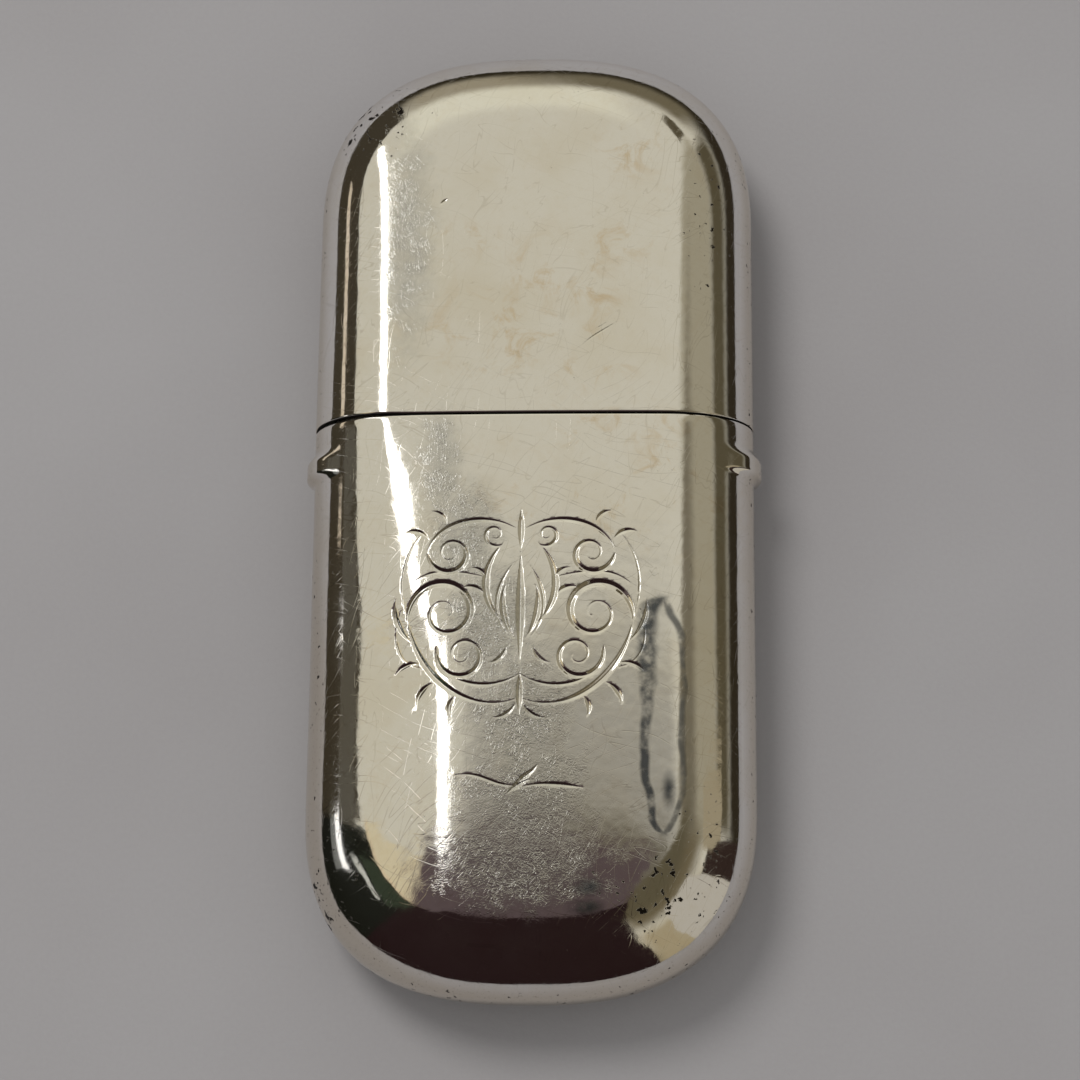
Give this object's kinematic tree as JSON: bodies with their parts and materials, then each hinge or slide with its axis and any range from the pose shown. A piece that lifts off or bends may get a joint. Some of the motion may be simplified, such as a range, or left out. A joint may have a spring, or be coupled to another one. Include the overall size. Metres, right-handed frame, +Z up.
{
  "type": "pin case",
  "caption": "Flat pillow-shaped silver pin case with a pull-off cap on a sprung sleeve, and a velvet cushion of pins in the body.",
  "frame": {"origin": "on the flat back, under the middle of the closed case's bounding box", "axes": "+Y along the case from the body to the cap, +Z up from the back through the front face, +X to the right across the width, seen from the front"},
  "size_m": [0.0414, 0.0888, 0.0127],
  "materials": {
    "silver": "polished sterling silver, finely scratched, with light tarnish",
    "spring_metal": "bright spring brass",
    "velvet": "short-pile wine velvet",
    "wool": "wool wadding",
    "card": "stiff pasteboard",
    "pin_steel": "bright drawn steel"
  },
  "bodies": {
    "body": {"body_shell": "silver", "cushion_cover": "velvet", "front_wadding": "wool", "back_wadding": "wool", "cushion_card": "card"},
    "cap": {"cap_shell": "silver", "cap_sleeve": "silver", "left_catch_rivet": "spring_metal", "right_catch_rivet": "spring_metal"},
    "left_catch": {"left_catch_spring": "spring_metal"},
    "right_catch": {"right_catch_spring": "spring_metal"},
    "pin_01": {"pin_01": "pin_steel"},
    "pin_02": {"pin_02": "pin_steel"},
    "pin_03": {"pin_03": "pin_steel"},
    "pin_04": {"pin_04": "pin_steel"},
    "pin_05": {"pin_05": "pin_steel"},
    "pin_06": {"pin_06": "pin_steel"},
    "pin_07": {"pin_07": "pin_steel"},
    "pin_08": {"pin_08": "pin_steel"},
    "pin_09": {"pin_09": "pin_steel"},
    "pin_10": {"pin_10": "pin_steel"},
    "pin_11": {"pin_11": "pin_steel"},
    "pin_12": {"pin_12": "pin_steel"}
  },
  "joints": [
    {"name": "cap_slide", "type": "slide", "parent": "body", "child": "cap", "axis": [0, 1, 0], "range_m": [0, 0.045]},
    {"name": "left_catch_flex", "type": "hinge", "parent": "cap", "child": "left_catch", "pos_m": [-0.01827, 0.01425, 0.00635], "axis": [0, 0, 1], "range_deg": [0, 3.2], "stiffness_Nm_per_rad": 0.4},
    {"name": "right_catch_flex", "type": "hinge", "parent": "cap", "child": "right_catch", "pos_m": [0.01827, 0.01425, 0.00635], "axis": [0, 0, -1], "range_deg": [0, 3.2], "stiffness_Nm_per_rad": 0.4},
    {"name": "pin_01_draw", "type": "slide", "parent": "body", "child": "pin_01", "axis": [0, 1, 0], "range_m": [0, 0.0135]},
    {"name": "pin_02_draw", "type": "slide", "parent": "body", "child": "pin_02", "axis": [0, 1, 0], "range_m": [0, 0.0135]},
    {"name": "pin_03_draw", "type": "slide", "parent": "body", "child": "pin_03", "axis": [0, 1, 0], "range_m": [0, 0.0135]},
    {"name": "pin_04_draw", "type": "slide", "parent": "body", "child": "pin_04", "axis": [0, 1, 0], "range_m": [0, 0.0135]},
    {"name": "pin_05_draw", "type": "slide", "parent": "body", "child": "pin_05", "axis": [0, 1, 0], "range_m": [0, 0.0135]},
    {"name": "pin_06_draw", "type": "slide", "parent": "body", "child": "pin_06", "axis": [0, 1, 0], "range_m": [0, 0.0135]},
    {"name": "pin_07_draw", "type": "slide", "parent": "body", "child": "pin_07", "axis": [0, 1, 0], "range_m": [0, 0.0135]},
    {"name": "pin_08_draw", "type": "slide", "parent": "body", "child": "pin_08", "axis": [0, 1, 0], "range_m": [0, 0.0135]},
    {"name": "pin_09_draw", "type": "slide", "parent": "body", "child": "pin_09", "axis": [0, 1, 0], "range_m": [0, 0.0135]},
    {"name": "pin_10_draw", "type": "slide", "parent": "body", "child": "pin_10", "axis": [0, 1, 0], "range_m": [0, 0.0135]},
    {"name": "pin_11_draw", "type": "slide", "parent": "body", "child": "pin_11", "axis": [0, 1, 0], "range_m": [0, 0.0135]},
    {"name": "pin_12_draw", "type": "slide", "parent": "body", "child": "pin_12", "axis": [0, 1, 0], "range_m": [0, 0.0135]}
  ]
}
